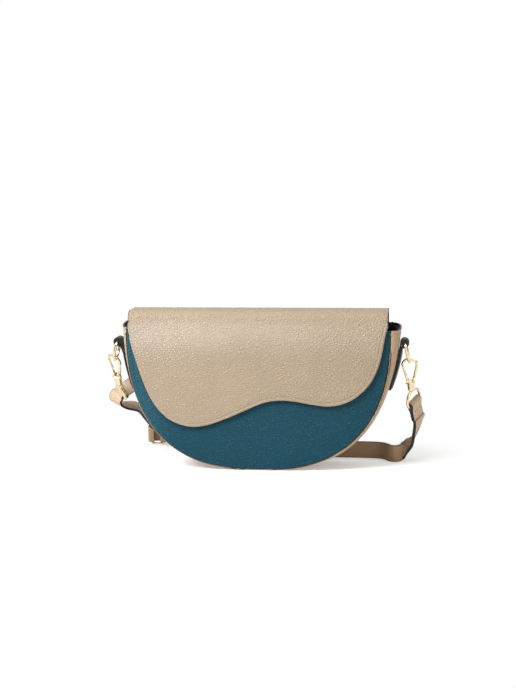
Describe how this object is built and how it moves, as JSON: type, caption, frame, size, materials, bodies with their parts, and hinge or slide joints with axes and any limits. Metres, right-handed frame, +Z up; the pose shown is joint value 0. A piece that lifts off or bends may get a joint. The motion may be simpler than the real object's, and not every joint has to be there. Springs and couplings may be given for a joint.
{
  "type": "saddle handbag",
  "caption": "Half-moon leather saddle handbag with a wave-edged flap, bowed gusset, side rings, swivel snap hooks and a looped shoulder strap.",
  "frame": {"origin": "on the floor, in the middle of the flat that the bag rests on", "axes": "+Z up, the flap's front faces -Y, +X to the right of someone who looks at the front"},
  "size_m": [0.339, 0.1494, 0.1651],
  "materials": {
    "teal_leather": "pebbled leather with black painted edges",
    "taupe_leather": "pebbled leather with black painted edges",
    "teal_leather_inside": "smooth dark lining leather",
    "tab_leather": "smooth dark leather with black painted edges",
    "strap_leather": "smooth leather with black painted edges",
    "lining": "close-woven cotton on a stiffener",
    "magnet": "nickel-plated disc",
    "pale_gold": "polished pale gold plating"
  },
  "bodies": {
    "bag": {"front_panel": "teal_leather", "back_panel": "teal_leather", "gusset": "taupe_leather", "front_lining": "lining", "back_lining": "lining", "gusset_lining": "lining", "inner_pocket": "lining", "body_magnet": "magnet", "flap_tongue": "taupe_leather", "tab_right": "tab_leather", "tab_left": "tab_leather", "strap_drop_right": "strap_leather", "strap_floor": "strap_leather", "strap_loop_left": "strap_leather"},
    "flap": {"flap": "taupe_leather", "flap_lining": "teal_leather_inside", "flap_magnet": "magnet"},
    "ring_right": {"ring_right": "pale_gold"},
    "hook_right": {"hook_right": "pale_gold", "gate_pin_right": "pale_gold"},
    "gate_right": {"gate_right": "pale_gold"},
    "eye_right": {"eye_right": "pale_gold"},
    "strap_end_right": {"strap_end_right": "strap_leather"},
    "ring_left": {"ring_left": "pale_gold"},
    "hook_left": {"hook_left": "pale_gold", "gate_pin_left": "pale_gold"},
    "gate_left": {"gate_left": "pale_gold"},
    "eye_left": {"eye_left": "pale_gold"},
    "strap_link": {"strap_link": "pale_gold"}
  },
  "joints": [
    {"name": "flap_hinge", "type": "hinge", "parent": "bag", "child": "flap", "pos_m": [0, 0.02492, 0.1501], "axis": [-1, 0, 0], "range_deg": [0, 170]},
    {"name": "ring_right_swing", "type": "hinge", "parent": "bag", "child": "ring_right", "pos_m": [0.15022, 0, 0.13], "axis": [0, -1, 0], "range_deg": [-3, 80], "deforming": ["strap_drop_right"]},
    {"name": "hook_right_swing", "type": "hinge", "parent": "ring_right", "child": "hook_right", "pos_m": [0.15455, 0, 0.11377], "axis": [0.9986, 0, 0.0523], "range_deg": [-80, 40], "deforming": ["strap_drop_right"]},
    {"name": "gate_right_hinge", "type": "hinge", "parent": "hook_right", "child": "gate_right", "pos_m": [0.15263, 0.01184, 0.08937], "axis": [-0.0229, 0.8988, 0.4378], "range_deg": [0, 15], "stiffness_Nm_per_rad": 0.01, "springref_deg": -11.46},
    {"name": "eye_right_swivel", "type": "hinge", "parent": "hook_right", "child": "eye_right", "pos_m": [0.15629, 0.01618, 0.08065], "axis": [-0.047, -0.4384, 0.8976], "continuous": true, "deforming": ["strap_drop_right"]},
    {"name": "ring_left_swing", "type": "hinge", "parent": "bag", "child": "ring_left", "pos_m": [-0.15022, 0, 0.13], "axis": [0, 1, 0], "range_deg": [-7, 80], "deforming": ["strap_loop_left"]},
    {"name": "hook_left_swing", "type": "hinge", "parent": "ring_left", "child": "hook_left", "pos_m": [-0.15625, 0, 0.11517], "axis": [0.8745, -0.4286, -0.2271], "range_deg": [-18, 22], "deforming": ["strap_loop_left"]},
    {"name": "gate_left_hinge", "type": "hinge", "parent": "hook_left", "child": "gate_left", "pos_m": [-0.15824, 0.01528, 0.09277], "axis": [0.4841, 0.7423, 0.4632], "range_deg": [0, 15], "stiffness_Nm_per_rad": 0.01, "springref_deg": -11.46},
    {"name": "eye_left_swivel", "type": "hinge", "parent": "hook_left", "child": "eye_left", "pos_m": [-0.15515, 0.019, 0.08356], "axis": [-0.0299, -0.515, 0.8566], "continuous": true, "deforming": ["strap_loop_left"]},
    {"name": "strap_end_right_swing", "type": "hinge", "parent": "eye_right", "child": "strap_end_right", "pos_m": [0.15959, 0.0239, 0.06496], "axis": [0.5303, 0.711, 0.4618], "range_deg": [-50, 50], "deforming": ["strap_drop_right"]},
    {"name": "strap_link_swing", "type": "hinge", "parent": "bag", "child": "strap_link", "pos_m": [-0.12178, 0.10001, 0.01225], "axis": [0, 0, 1], "range_deg": [-10, 40], "deforming": ["strap_loop_left"]}
  ]
}
